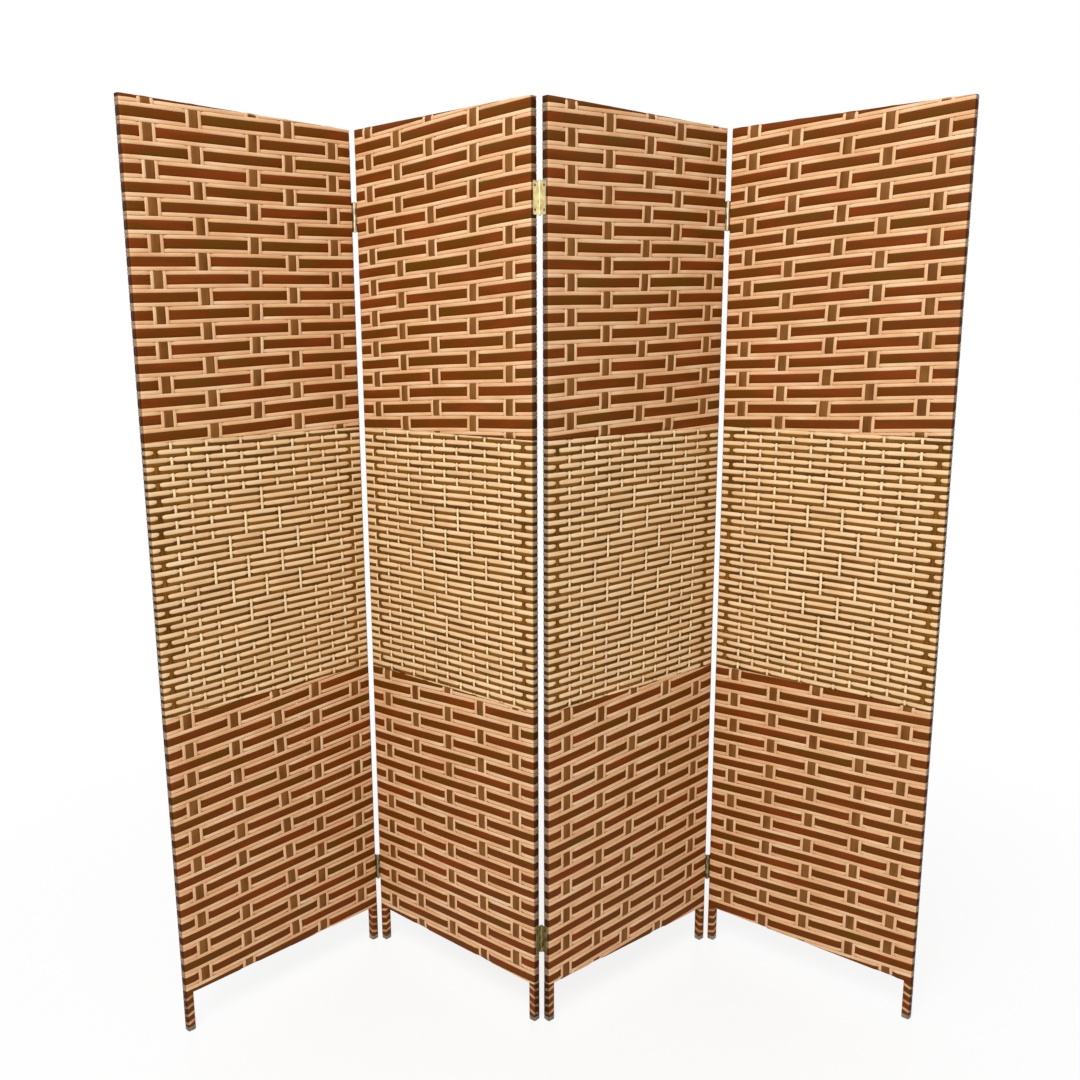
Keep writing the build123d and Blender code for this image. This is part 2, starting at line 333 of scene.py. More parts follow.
class Strands:
    """Collects strands, and makes one mesh of them."""

    def __init__(self):
        self.points = []
        self.marks = []
        self.quads = []
        self.caps = {}
        self.slots = []
        self.cap_slots = {}
        self.count = 0

    def add(self, path, outward, width, thickness, outline, slot, tone, limits=None):
        """One strand along a path, cut level where it passes the lower or upper limit."""
        steps = len(path)
        width = np.broadcast_to(width, steps)
        tangent = np.gradient(path, axis=0)
        across = np.cross(outward, tangent)
        across /= np.linalg.norm(across, axis=1)[:, None]
        length = np.concatenate(([0], np.cumsum(np.linalg.norm(np.diff(path, axis=0), axis=1))))
        sideways = outline[None, :, 0] * width[:, None] / 2
        points = (
            path[:, None, :]
            + across[:, None, :] * sideways[:, :, None]
            + outward[:, None, :] * outline[None, :, 1, None] * thickness / 2
        )
        marks = np.empty_like(points)
        marks[:, :, 0] = length[:, None]
        marks[:, :, 1] = sideways
        marks[:, :, 2] = tone
        if limits is None:
            self.keep(points, marks, slot)
            return
        for start, end in self.kept_runs(points, *limits):
            run = points[start:end].copy()
            run[:, :, 2] = np.clip(run[:, :, 2], *limits)
            self.keep(run, marks[start:end], slot)

    def kept_runs(self, points, low, high):
        """The stretches of a strand that reach inside the limits, and one step further."""
        inside = (points[:, :, 2].max(axis=1) > low) & (points[:, :, 2].min(axis=1) < high)
        inside = np.concatenate(([False], inside, [False]))
        changes = np.flatnonzero(inside[1:] != inside[:-1])
        runs = zip(changes[::2], changes[1::2])
        grown = [(max(start - 1, 0), min(end + 1, len(points))) for start, end in runs]
        return [(start, end) for start, end in grown if end - start > 1]

    def keep(self, points, marks, slot):
        """Adds the rings of one stretch, with a face at each end."""
        steps, sides, _ = points.shape
        self.points.append(points.reshape(-1, 3))
        self.marks.append(marks.reshape(-1, 3))
        ring = np.arange(sides)
        ahead = np.roll(ring, -1)
        first = self.count + np.arange(steps - 1)[:, None] * sides
        quads = np.stack(
            (first + ring, first + ahead, first + sides + ahead, first + sides + ring), axis=2
        )
        self.quads.append(quads.reshape(-1, 4))
        self.slots.append(np.full(len(quads) * sides, slot))
        last = self.count + (steps - 1) * sides
        self.caps.setdefault(sides, []).extend((self.count + ring[::-1], last + ring))
        self.cap_slots.setdefault(sides, []).extend((slot, slot))
        self.count += steps * sides

    def mesh(self, name):
        """The mesh of every strand so far."""
        faces = [np.concatenate(self.quads)]
        slots = [np.concatenate(self.slots)]
        for sides, caps in self.caps.items():
            faces.append(np.array(caps))
            slots.append(np.array(self.cap_slots[sides]))
        corners = np.concatenate([group.ravel() for group in faces])
        sizes = np.concatenate([np.full(len(group), group.shape[1]) for group in faces])
        starts = np.concatenate(([0], np.cumsum(sizes)[:-1]))
        mesh = bpy.data.meshes.new(name)
        mesh.vertices.add(self.count)
        mesh.vertices.foreach_set("co", np.concatenate(self.points).ravel())
        mesh.loops.add(len(corners))
        mesh.loops.foreach_set("vertex_index", corners)
        mesh.polygons.add(len(starts))
        mesh.polygons.foreach_set("loop_start", starts)
        mesh.polygons.foreach_set("material_index", np.concatenate(slots))
        mesh.update(calc_edges=True)
        mark = mesh.attributes.new("strand", "FLOAT_VECTOR", "POINT")
        mark.data.foreach_set("vector", np.concatenate(self.marks).ravel())
        mesh.shade_smooth()
        return mesh


# A band of weave: where its rows and its uprights run

ARC_TURNS = (0, 30, 60, 90)


class Band:
    """The rows and uprights of one band on one panel."""

    def __init__(self, number, edges, first, pitch, climb, uprights):
        self.top, self.bottom = (TOP - edge * MM for edge in edges)
        self.first = TOP - first * MM
        self.pitch = pitch * MM
        self.climbs = tuple(climb * MM for climb in climb)
        self.uprights = np.array(uprights) * MM
        self.height = self.top - self.bottom
        self.limits = (self.bottom, self.top)
        self.turn_rows = max(1, ceil(max(self.climbs) / self.pitch))
        self.phase = number * DRIFT_STEP

    def rows(self):
        """Every row that reaches into the band, counted from the first whose odd uprights show."""
        above = ceil((self.top - self.first) / self.pitch) + self.turn_rows + 1
        below = ceil((self.first - self.bottom) / self.pitch) + self.turn_rows + 1
        return range(-above, below + 1)

    def row_height(self, row, x):
        """The height of a row's middle on the front, at x along the panel."""
        start = self.first - row * self.pitch
        down = np.clip((self.top - start) / self.height, 0, 1)
        climb = self.climbs[0] + (self.climbs[1] - self.climbs[0]) * down
        drift = DRIFT * np.sin(x * DRIFT_ALONG + start * DRIFT_DOWN + self.phase)
        return start + climb * x / WIDTH + drift

    def upright_place(self, upright, height):
        """Where an upright is along the panel, at a height."""
        down = np.clip((self.top - height) / self.height, 0, 1)
        above, below = self.uprights[:, upright]
        return above + (below - above) * down

    def face_samples(self, row, shows, half, dip):
        """Places along the panel that a row's shape needs, and the uprights that it dips under."""
        places = [FLAT_MARGIN / 2]
        centres = []
        for upright in range(self.uprights.shape[1]):
            centre = self.upright_place(upright, self.row_height(row, self.uprights[0, upright]))
            if shows(row, upright + 1):
                centres.append(centre)
                places.extend(centre + np.array(DIP_PLACES) * (half + dip))
            else:
                places.extend((centre - half, centre + half))
        places.append(WIDTH - FLAT_MARGIN / 2)
        places = np.array(sorted(places))
        places = places[(places > CORNER + MM) & (places < WIDTH - CORNER - MM)]
        return places, np.array(centres)


def side_arc(x_side, y_side, start_angle):
    """The points of a quarter turn round one of the panel's corners, with their outward way."""
    turns = np.radians(start_angle + np.array(ARC_TURNS))
    outward = np.stack((np.cos(turns), np.sin(turns), np.zeros(len(turns))), axis=1)
    reach = SIDE_LEVEL - CORNER
    inset = HALF - SIDE_LEVEL + CORNER
    middle_x = inset if x_side < 0 else WIDTH - inset
    middle = np.array((middle_x, y_side * reach, 0))
    return middle + outward * CORNER, outward


def face_level(x, centres, half, dip, over):
    """How far out a row is at places along a face, and how far it has dipped there."""
    gap = np.min(np.abs(x[:, None] - centres[None, :]), axis=1)
    fall = 1 - smooth((gap - half) / dip)
    rise = smooth((np.minimum(x, WIDTH - x) - CORNER) / FLAT_MARGIN)
    flat = SIDE_LEVEL + (over - SIDE_LEVEL) * rise
    return flat + (UNDER - flat) * fall, fall


def face_run(x, level, side):
    """A row's points along a face, at no height yet, and their outward ways."""
    points = np.stack((x, side * level, np.zeros(len(x))), axis=1)
    return points, np.tile((0.0, float(side), 0.0), (len(x), 1))


def loop_path(band, row, offset, shows, half, dip, over):
    """A row's way round the whole frame: its points, outward ways and dips.

    It starts and ends in the middle of the left side, and climbs onto the rows above at the back.
    """
    front, centres = band.face_samples(row, shows, half, dip)
    rear, rear_centres = band.face_samples(row + band.turn_rows // 2, shows, half, dip)
    rear = rear[::-1]
    front_level, front_fall = face_level(front, centres, half, dip, over)
    rear_level, rear_fall = face_level(rear, rear_centres, half, dip, over)
    seam = (np.array(((HALF - SIDE_LEVEL, 0.0, 0.0),)), np.array(((-1.0, 0.0, 0.0),)))
    stretches = (
        seam,
        side_arc(-1, -1, 180),
        face_run(front, front_level, -1),
        side_arc(1, -1, 270),
        side_arc(1, 1, 0),
        face_run(rear, rear_level, 1),
        side_arc(-1, 1, 90),
        seam,
    )
    points = np.concatenate([stretch[0] for stretch in stretches])
    ways = np.concatenate([stretch[1] for stretch in stretches])
    arc = len(ARC_TURNS)
    flat = np.zeros(1 + arc)
    falls = np.concatenate((flat, front_fall, np.zeros(2 * arc), rear_fall, flat))
    steps = np.linalg.norm(np.diff(points, axis=0), axis=1)
    way = np.concatenate(([0], np.cumsum(steps)))
    first_front = 1 + arc
    last_front = first_front + len(front) + arc
    lead = way[first_front] - points[first_front, 0]
    unrolled = way - lead
    heights = band.row_height(row, unrolled)
    turned = band.row_height(row, unrolled[last_front])
    ending = band.row_height(row - band.turn_rows, -lead)
    share = (way - way[last_front]) / (way[-1] - way[last_front])
    behind = turned + (ending - turned) * share
    points[:, 2] = np.where(way > way[last_front], behind, heights) + offset
    return points, ways, falls


# The wide bands

def odd_show(row, upright):
    """In a wide band the odd uprights show in even rows, and the even ones in odd rows."""
    return (row + upright) % 2 == 1


def wide_rows(strands, band, dark_width, chance):
    """The rows of a wide band: a dark strip with a pale cord above and below it."""
    cord = (band.pitch / MM - dark_width) / 2
    offset = (dark_width + cord) / 2 * MM
    for row in band.rows():
        for slot, shift, width, thickness, outline in (
            (0, 0.0, dark_width + DARK_OVERLAP, STRIP_THICKNESS, FLAT_SECTION),
            (2, offset, cord, ROUND_THICKNESS, CORD_SECTION),
            (2, -offset, cord, ROUND_THICKNESS, CORD_SECTION),
        ):
            path, outward, falls = loop_path(
                band, row, shift, odd_show, GROUP_HALF, GROUP_DIP, ROW_OVER
            )
            narrowed = width * MM * (1 - DIP_NARROWING * falls)
            tone = chance.random()
            strands.add(path, outward, narrowed, thickness, outline, slot, tone, band.limits)


def upright_heights(band, upright):
    """The heights that an upright's shape needs: its ends, the rows' middles and their edges."""
    rise = UPRIGHT_RISE
    heights = []
    for row in band.rows():
        middle = band.row_height(row, band.uprights[0, upright])
        edge = middle + band.pitch / 2
        heights.extend((edge + rise, edge + rise / 3, edge - rise / 3, edge - rise, middle))
    low, high = band.limits
    heights = np.array(sorted(set(heights)))
    heights = heights[(heights > low + MM) & (heights < high - MM)]
    return np.concatenate(([low], heights, [high]))


def upright_level(band, upright, heights, shows):
    """How far out an upright is at each height: over the rows it shows in, under the rest."""
    depth = UPRIGHT_OVER - UNDER
    level = np.full(len(heights), UNDER)
    for row in band.rows():
        if shows(row, upright + 1):
            middle = band.row_height(row, band.uprights[0, upright])
            gap = np.abs(heights - middle) - band.pitch / 2
            level = np.maximum(level, UNDER + depth * (1 - smooth(gap / UPRIGHT_RISE / 2 + 0.5)))
    low, high = band.limits
    level = np.minimum(level, UNDER + depth * smooth((heights - low) / UPRIGHT_RISE))
    return np.minimum(level, UNDER + depth * smooth((high - heights) / UPRIGHT_RISE))


def upright_face(band, upright, side, shift, shows):
    """One face's stretch of an upright, from the bottom up: its points and outward ways."""
    heights = upright_heights(band, upright)
    level = upright_level(band, upright, heights, shows)
    x = band.upright_place(upright, heights) + shift
    points = np.stack((x, side * level, heights), axis=1)
    return points, np.tile((0.0, float(side), 0.0), (len(heights), 1))


def rail_turn(x, height, up):
    """An upright's way over the top rail, or under the bottom one, from front to back."""
    turns = np.radians((150, 120, 60, 30))
    reach = np.cos(turns) * RAIL_REACH
    lift = (np.sin(turns) * TURN_LIFT + TURN_BASE) * UPRIGHT_THICKNESS
    points = np.stack((np.full(4, x), reach, height + up * lift), axis=1)
    outward = np.stack((np.zeros(4), np.cos(turns), up * np.sin(turns)), axis=1)
    return points, outward


def wide_uprights(strands, band, turns_at_top, chance):
    """The uprights of a wide band: a brown strip between two pale cords, round the rail."""
    spread = (GROUP_STRIP + GROUP_CORD) / 2 * MM
    for upright in range(band.uprights.shape[1]):
        for slot, shift, width, outline in (
            (1, 0.0, GROUP_STRIP + GROUP_OVERLAP, FLAT_SECTION),
            (2, -spread, GROUP_CORD, ROUND_SECTION),
            (2, spread, GROUP_CORD, ROUND_SECTION),
        ):
            front, front_way = upright_face(band, upright, -1, shift, odd_show)
            rear, rear_way = upright_face(band, upright, 1, shift, odd_show)
            if turns_at_top:
                turn, turn_way = rail_turn(front[-1, 0], front[-1, 2], 1)
                path = np.concatenate((front, turn, rear[::-1]))
                ways = np.concatenate((front_way, turn_way, rear_way[::-1]))
            else:
                turn, turn_way = rail_turn(front[0, 0], front[0, 2], -1)
                path = np.concatenate((front[::-1], turn, rear))
                ways = np.concatenate((front_way[::-1], turn_way, rear_way))
            tone = chance.random()
            strands.add(path, ways, width * MM, UPRIGHT_THICKNESS, outline, slot, tone)


# The fine band

def fine_show(row, upright):
    """In the fine band the even uprights show in odd rows, but for the diamond."""
    for first, tall in DIAMOND.items():
        inside = first <= row < first + DIAMOND_HEIGHT
        if inside and upright in tall:
            return True
        if row == first + 1 and (upright - 1 in tall or upright + 1 in tall):
            return False
    return odd_show(row, upright)


def fine_rows(strands, band, chance):
    """The rows of the fine band: a pale strip, and a thinner dark cord under it."""
    strip = band.pitch * FINE_STRIP
    cord = band.pitch - strip
    half = FINE_UPRIGHT / 2
    for row in band.rows():
        tone = chance.random()
        path, outward, falls = loop_path(
            band, row, cord / 2, fine_show, half, FINE_DIP, ROW_OVER
        )
        width = strip * (STRIP_SPREAD - STRIP_NARROWING * falls)
        strands.add(path, outward, width, ROUND_THICKNESS, ROUND_SECTION, 0, tone, band.limits)
        path, outward, falls = loop_path(
            band, row, -strip / 2, fine_show, half, FINE_DIP, ROW_OVER - SHADE_DROP
        )
        path[:, 2] += falls * SHADE_LIFT
        width = cord * (SHADE_SPREAD - SHADE_NARROWING * falls)
        tone = chance.random()
        strands.add(path, outward, width, UPRIGHT_THICKNESS, SLIM_SECTION, 1, tone, band.limits)


def fine_upright(strands, band, upright, shift, width, slot, chance):
    """One upright strand of the fine band, on both faces."""
    for side in (-1, 1):
        path, outward = upright_face(band, upright, side, shift, fine_show)
        tone = chance.random()
        strands.add(path, outward, width, UPRIGHT_THICKNESS, SLIM_SECTION, slot, tone)


def fine_uprights(strands, band, pale, chance):
    """The fine band's uprights, dark at the panel's sides, and its extra pale ones."""
    last = band.uprights.shape[1] - 1
    for upright in range(last + 1):
        if upright in (0, last):
            fine_upright(strands, band, upright, 0.0, SIDE_UPRIGHT, 1, chance)
        else:
            fine_upright(strands, band, upright, 0.0, FINE_UPRIGHT, 2, chance)
    for place in pale:
        nearest = int(np.argmin(np.abs(band.uprights[0] - place * MM)))
        shift = place * MM - band.uprights[0, nearest]
        fine_upright(strands, band, nearest, shift, PALE_UPRIGHT, 2, chance)


# Leg winding

def leg_loop(level, corner):
    """One turn round a leg's square section: its points and outward ways, from the front."""
    points = []
    ways = []
    for middle in (270, 0, 90, 180):
        for turn in (-30, 0, 30):
            angle = radians(middle + 45 + turn)
            way = (cos(angle), sin(angle), 0.0)
            quarter = radians(middle + 45)
            reach = level - corner
            x = reach * np.sign(cos(quarter)) + corner * way[0]
            y = reach * np.sign(sin(quarter)) + corner * way[1]
            points.append((x, y, 0.0))
            ways.append(way)
    return np.array(points), np.array(ways)


def wind_leg(strands, middle, rising, level, width, start, slot, chance):
    """A strip wound round a leg, from the foot's cap up to the weave."""
    loop, ways = leg_loop(level, LEG_CORNER)
    turns = int(ceil((BOTTOM - FOOT_TOP) / LEG_PITCH)) + 3
    path = np.tile(loop, (turns, 1))
    outward = np.tile(ways, (turns, 1))
    steps = np.linalg.norm(np.diff(path, axis=0), axis=1)
    way = np.concatenate(([0], np.cumsum(steps)))
    path[:, 2] = FOOT_TOP + start - LEG_PITCH + way / way[-1] * turns * LEG_PITCH
    path[:, 0] = path[:, 0] * rising + middle
    outward[:, 0] *= rising
    if rising < 0:
        path = path[::-1]
        outward = outward[::-1]
    tone = chance.random()
    limits = (FOOT_TOP, BOTTOM)
    strands.add(path, outward, width, LEG_THICKNESS, FLAT_SECTION, slot, tone, limits)


# Materials

def linear(colour):
    """A #rrggbb colour in scene-linear values."""
    values = [int(colour[i : i + 2], 16) / 255 for i in (1, 3, 5)]
    return tuple(v / 12.92 if v <= 0.04045 else ((v + 0.055) / 1.055) ** 2.4 for v in values)


def new_material(name):
    """An empty node material with its shader."""
    material = bpy.data.materials.new(name)
    material.use_nodes = True
    nodes = material.node_tree.nodes
    nodes.clear()
    output = nodes.new("ShaderNodeOutputMaterial")
    shader = nodes.new("ShaderNodeBsdfPrincipled")
    material.node_tree.links.new(shader.outputs["BSDF"], output.inputs["Surface"])
    return material, nodes, material.node_tree.links, shader


def scaled(nodes, links, vector, scale):
    """A vector times a scale for each axis."""
    multiply = nodes.new("ShaderNodeVectorMath")
    multiply.operation = "MULTIPLY"
    multiply.inputs[1].default_value = scale
    links.new(vector, multiply.inputs[0])
    return multiply.outputs["Vector"]


def noise(nodes, links, vector, detail=3.0, roughness=0.55):
    """A noise over the given coordinates."""
    texture = nodes.new("ShaderNodeTexNoise")
    texture.inputs["Scale"].default_value = 1.0
    texture.inputs["Detail"].default_value = detail
    texture.inputs["Roughness"].default_value = roughness
    links.new(vector, texture.inputs["Vector"])
    return texture.outputs["Fac"]


def ramp(nodes, links, factor, stops):
    """Colours over a factor."""
    node = nodes.new("ShaderNodeValToRGB")
    elements = node.color_ramp.elements
    elements[0].position = stops[0][0]
    elements[0].color = (*linear(stops[0][1]), 1)
    elements[1].position = stops[-1][0]
    elements[1].color = (*linear(stops[-1][1]), 1)
    for position, colour in stops[1:-1]:
        element = elements.new(position)
        element.color = (*linear(colour), 1)
    links.new(factor, node.inputs["Fac"])
    return node.outputs["Color"]


def between(nodes, links, factor, low, high):
    """A factor from 0 to 1 taken to the range from low to high."""
    node = nodes.new("ShaderNodeMapRange")
    node.inputs["To Min"].default_value = low
    node.inputs["To Max"].default_value = high
    links.new(factor, node.inputs["Value"])
    return node.outputs["Result"]


def shade(nodes, links, colour, factor):
    """A colour made darker or lighter by a factor near 1."""
    node = nodes.new("ShaderNodeVectorMath")
    node.operation = "SCALE"
    links.new(colour, node.inputs[0])
    links.new(factor, node.inputs["Scale"])
    return node.outputs["Vector"]


def bump(nodes, links, shader, height, strength, distance):
    """Bump from a height."""
    node = nodes.new("ShaderNodeBump")
    node.inputs["Strength"].default_value = strength
    node.inputs["Distance"].default_value = distance
    links.new(height, node.inputs["Height"])
    links.new(node.outputs["Normal"], shader.inputs["Normal"])


def falling(nodes, links, value, start, full, lowest):
    """A factor that falls softly from 1 to its lowest as a value goes from start to full."""
    fall = nodes.new("ShaderNodeMapRange")
    fall.interpolation_type = "SMOOTHSTEP"
    fall.inputs["From Min"].default_value = start
    fall.inputs["From Max"].default_value = full
    fall.inputs["To Min"].default_value = 1.0
    fall.inputs["To Max"].default_value = lowest
    links.new(value, fall.inputs["Value"])
    return fall.outputs["Result"]


def painted_edge_shade(nodes, links, strand, shade_at_edges):
    """Painted shade: a factor that falls towards a strand's edges, where it meets its neighbours, over
    the span given.
    """
    parts = nodes.new("ShaderNodeSeparateXYZ")
    links.new(strand, parts.inputs["Vector"])
    aside = nodes.new("ShaderNodeMath")
    aside.operation = "ABSOLUTE"
    links.new(parts.outputs["Y"], aside.inputs[0])
    return falling(nodes, links, aside.outputs["Value"], *shade_at_edges)


def painted_side_shade(nodes, links):
    """A factor of painted shade that darkens the strands on a panel's two narrow sides, to stand for
    the shade there.
    """
    place = nodes.new("ShaderNodeTexCoord")
    parts = nodes.new("ShaderNodeSeparateXYZ")
    links.new(place.outputs["Object"], parts.inputs["Vector"])
    gap = nodes.new("ShaderNodeMath")
    gap.operation = "SUBTRACT"
    gap.inputs[1].default_value = WIDTH / 2
    links.new(parts.outputs["X"], gap.inputs[0])
    reach = nodes.new("ShaderNodeMath")
    reach.operation = "ABSOLUTE"
    links.new(gap.outputs["Value"], reach.inputs[0])
    start = WIDTH / 2 - SIDE_START
    full = WIDTH / 2 - SIDE_FULL
    return falling(nodes, links, reach.outputs["Value"], start, full, SIDE_SHADE)


def fibre_material(name, stops, change, contrast, roughness, depth, gloss, sheen=0.0, shade_at_edges=None):
    """Twisted paper fibre: colour changes along the strand, with fine streaks on it.

    Shade at edges, if given, is painted shade between neighbouring strands: how far from the strand's
    middle it starts to darken and is darkest, and by what factor.
    """
    material, nodes, links, shader = new_material(name)
    mark = nodes.new("ShaderNodeAttribute")
    mark.attribute_name = "strand"
    strand = mark.outputs["Vector"]
    slow = noise(nodes, links, scaled(nodes, links, strand, (change, 40.0, 61.0)), detail=2.0)
    colour = ramp(nodes, links, slow, stops)
    streak = noise(nodes, links, scaled(nodes, links, strand, (28.0, 900.0, 37.0)), detail=4.0)
    grain = noise(nodes, links, scaled(nodes, links, strand, (260.0, 2300.0, 83.0)), detail=2.0)
    colour = shade(nodes, links, colour, between(nodes, links, streak, 1 - contrast, 1 + contrast))
    colour = shade(
        nodes, links, colour, between(nodes, links, grain, 1 - contrast * 0.5, 1 + contrast * 0.5)
    )
    # Painted shade towards the strand's edges, in the valleys between strands.
    if shade_at_edges:
        colour = shade(nodes, links, colour, painted_edge_shade(nodes, links, strand, shade_at_edges))
    # Painted shade on the panel's narrow sides.
    colour = shade(nodes, links, colour, painted_side_shade(nodes, links))
    links.new(colour, shader.inputs["Base Color"])
    rough = between(nodes, links, grain, roughness - 0.1, roughness + 0.12)
    links.new(rough, shader.inputs["Roughness"])
    shader.inputs["Specular IOR Level"].default_value = gloss
    if sheen:
        shader.inputs["Sheen Weight"].default_value = sheen
        shader.inputs["Sheen Roughness"].default_value = 0.45
    bump(nodes, links, shader, streak, 0.55, depth)
    return material


def wood_material(name, heading):
    """Pale planed wood with its grain along a heading in radians, or upright if it is None."""
    material, nodes, links, shader = new_material(name)
    place = nodes.new("ShaderNodeTexCoord")
    turned = nodes.new("ShaderNodeMapping")
    if heading is not None:
        turned.inputs["Rotation"].default_value = (0, 0, -heading)
    links.new(place.outputs["Object"], turned.inputs["Vector"])
    stretch = (260.0, 260.0, 9.0) if heading is None else (9.0, 260.0, 260.0)
    grain = noise(nodes, links, scaled(nodes, links, turned.outputs["Vector"], stretch), 5.0)
    colour = ramp(nodes, links, grain, ((0.3, WOOD_DEEP), (0.7, WOOD_LIGHT)))
    links.new(colour, shader.inputs["Base Color"])
    links.new(between(nodes, links, grain, 0.62, 0.45), shader.inputs["Roughness"])
    bump(nodes, links, shader, grain, 0.3, 0.0004)
    return material


def cap_material():
    """The grey-brown foot cap: matt, a little scuffed."""
    material, nodes, links, shader = new_material("foot_cap")
    place = nodes.new("ShaderNodeTexCoord")
    speckle = noise(nodes, links, scaled(nodes, links, place.outputs["Object"], (420.0,) * 3), 4.0)
    scuff = noise(nodes, links, scaled(nodes, links, place.outputs["Object"], (60.0,) * 3), 3.0)
    colour = ramp(nodes, links, scuff, ((0.3, "#5f564a"), (0.55, "#857c6c"), (0.75, "#aba28f")))
    colour = shade(nodes, links, colour, between(nodes, links, speckle, 0.85, 1.15))
    links.new(colour, shader.inputs["Base Color"])
    links.new(between(nodes, links, speckle, 0.5, 0.72), shader.inputs["Roughness"])
    bump(nodes, links, shader, speckle, 0.3, 0.0003)
    return material


def metal_material(name, light, deep, rough):
    """Rolled metal with fine brushing and a little tarnish."""
    material, nodes, links, shader = new_material(name)
    place = nodes.new("ShaderNodeTexCoord")
    spot = place.outputs["Object"]
    tarnish = noise(nodes, links, scaled(nodes, links, spot, (90.0, 90.0, 90.0)), 3.0)
    brush = noise(nodes, links, scaled(nodes, links, spot, (1400.0, 1400.0, 50.0)), 3.0)
    colour = ramp(nodes, links, tarnish, ((0.35, deep), (0.6, light)))
    links.new(colour, shader.inputs["Base Color"])
    links.new(between(nodes, links, brush, rough - 0.08, rough + 0.14), shader.inputs["Roughness"])
    shader.inputs["Metallic"].default_value = 1.0
    bump(nodes, links, shader, brush, 0.2, 0.0002)
    return material


# Pieces

def add_piece(name, mesh, number, materials, replaced=None):
    """An object of the part, standing in its panel's frame and riding on it."""
    piece = bpy.data.objects.new(name, mesh)
    for material in materials:
        mesh.materials.append(material)
    bpy.context.collection.objects.link(piece)
    piece.matrix_world = STANDS[number]
    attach(piece, f"panel_{number}")
    if replaced:
        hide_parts(replaced)


def band_edges(number, part):
    """How far down a band's top and bottom edge are from the panel's top, in millimetres."""
    low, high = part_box(f"panel_{number}_{part}_weave")
    return (TOP - high[2]) / MM, (TOP - low[2]) / MM


dark_strip = fibre_material(
    "dark_strip",
    ((0.32, DARK_OLIVE), (0.5, DARK_BROWN), (0.66, DARK_RED)),
    change=7.0,
    contrast=0.16,
    roughness=0.52,
    depth=0.0005,
    gloss=0.08,
)
brown_upright = fibre_material(
    "brown_upright",
    ((0.35, UPRIGHT_DEEP), (0.6, UPRIGHT_BROWN)),
    change=12.0,
    contrast=0.2,
    roughness=0.55,
    depth=0.0005,
    gloss=0.1,
)
pale_cord = fibre_material(
    "pale_cord",
    ((0.3, TAN_DEEP), (0.5, TAN_WARM), (0.68, TAN_LIGHT)),
    change=10.0,
    contrast=0.08,
    roughness=0.6,
    depth=0.0004,
    sheen=0.15,
    gloss=0.25,
    # Painted shade in the valleys between the cords.
    shade_at_edges=(2.7 * MM, 3.5 * MM, 0.75),
)
pale_strip = fibre_material(
    "pale_strip",
    ((0.3, STRIP_DEEP), (0.5, STRIP_WARM), (0.7, STRIP_LIGHT)),
    change=9.0,
    contrast=0.1,
    roughness=0.58,
    depth=0.0004,
    sheen=0.15,
    gloss=0.25,
    # Painted shade towards the strip's edges.
    shade_at_edges=(2.6 * MM, 4.8 * MM, 0.4),
)
pale_upright = fibre_material(
    "pale_upright",
    ((0.35, TAN_LIGHT), (0.6, FINE_LIGHT)),
    change=10.0,
    contrast=0.06,
    roughness=0.6,
    depth=0.0003,
    gloss=0.25,
    sheen=0.15,
)
dark_cord = fibre_material(
    "dark_cord",
    ((0.35, SHADE_DEEP), (0.6, SHADE_BROWN)),
    change=10.0,
    contrast=0.18,
    roughness=0.6,
    depth=0.0004,
    gloss=0.06,
)
wound_cord = fibre_material(
    "wound_cord",
    ((0.35, WOUND_DEEP), (0.65, WOUND_LIGHT)),
    change=30.0,
    contrast=0.14,
    roughness=0.6,
    depth=0.0004,
    gloss=0.2,
    sheen=0.15,
)
WIDE = (dark_strip, brown_upright, pale_cord)
FINE = (pale_strip, dark_cord, pale_upright)
WOUND = (dark_strip, wound_cord)


def add_band(number, part, rows, uprights, materials):
    """A band's two pieces: its rows, which stand for the band's solid, and its uprights."""
    name = f"panel_{number}_{part}"
    mesh = rows.mesh(f"{name}_rows")
    add_piece(f"{name}_rows", mesh, number, materials, f"{name}_weave")
    mesh = uprights.mesh(f"{name}_uprights")
    add_piece(f"{name}_uprights", mesh, number, materials)


def weave_wide(number, part, plan, dark_width, chance):
    """A panel's upper or lower band."""
    band = Band(number, band_edges(number, part), **plan)
    rows = Strands()
    wide_rows(rows, band, dark_width, chance)
    uprights = Strands()
    wide_uprights(uprights, band, part == "upper", chance)
    add_band(number, part, rows, uprights, WIDE)


def weave_fine(number, plan, chance):
    """A panel's middle band."""
    top, bottom = band_edges(number, "middle")
    pitch = (bottom - top) / FINE_ROWS
    first = top - pitch / 2
    band = Band(number, (top, bottom), first, pitch, plan["climb"], plan["uprights"])
    rows = Strands()
    fine_rows(rows, band, chance)
    uprights = Strands()
    fine_uprights(uprights, band, plan["pale"], chance)
    add_band(number, "middle", rows, uprights, FINE)


def wind_legs(number, chance):
    """The dark strip and the pale cord round a panel's two legs."""
    legs = Strands()
    for middle, rising in ((POST_INSET, 1), (WIDTH - POST_INSET, -1)):
        for level, width, start, slot in (
            (LEG_DARK_LEVEL, LEG_DARK, LEG_DARK_START, 0),
            (LEG_PALE_LEVEL, LEG_PALE, LEG_PALE_START, 1),
        ):
            wind_leg(legs, middle, rising, level, width, start, slot, chance)
    name = f"panel_{number}_legs"
    add_piece(name, legs.mesh(name), number, WOUND, f"panel_{number}_leg_wraps")


for number in NUMBERS:
    chance = np.random.default_rng(number)
    weave_wide(number, "upper", UPPER[number], DARK_WIDTH, chance)
    weave_wide(number, "lower", LOWER[number], LOWER_DARK_WIDTH, chance)
    weave_fine(number, MIDDLE[number], chance)
    wind_legs(number, chance)


# Materials of the pieces that keep their own shape

def dress(name, material):
    """Gives a CAD node a material."""
    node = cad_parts[name]
    if not node.material_slots:
        node.data.materials.append(material)
    for slot in node.material_slots:
        slot.material = material


